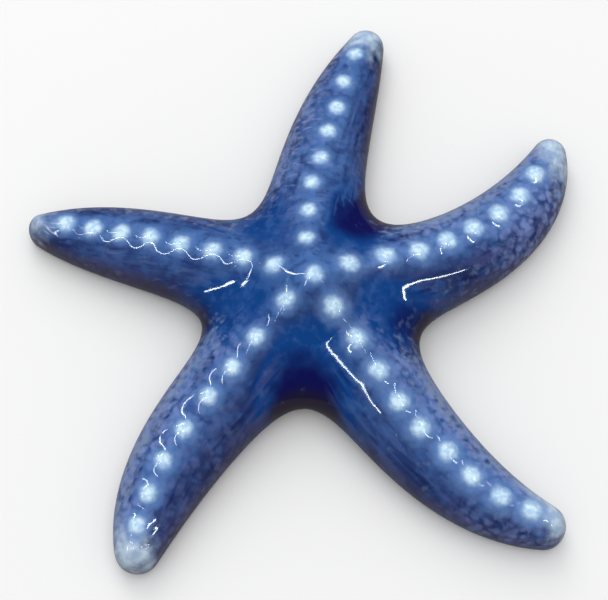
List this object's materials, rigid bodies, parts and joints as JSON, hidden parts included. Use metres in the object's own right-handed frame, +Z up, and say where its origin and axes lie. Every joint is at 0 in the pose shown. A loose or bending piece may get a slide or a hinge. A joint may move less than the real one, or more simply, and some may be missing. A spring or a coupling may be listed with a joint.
{
  "type": "ceramic starfish figurine",
  "caption": "Low domed ceramic starfish figurine with tapering, gently bent arms and rows of small raised beads, in mottled blue glaze, resting on a flat bare underside.",
  "frame": {"origin": "on the table, under the middle of the disc", "axes": "+Z up through the crown of the disc; +Y roughly along the top arm, +X to the right of it"},
  "size_m": [0.1223, 0.1299, 0.0216],
  "materials": {
    "cobalt_glaze": "glossy translucent cobalt glaze over a white body, paler on the beads and tips"
  },
  "bodies": {
    "root": {"disc": "cobalt_glaze", "arm_right": "cobalt_glaze", "arm_top": "cobalt_glaze", "arm_left": "cobalt_glaze", "arm_low_left": "cobalt_glaze", "arm_low_right": "cobalt_glaze"}
  },
  "joints": []
}
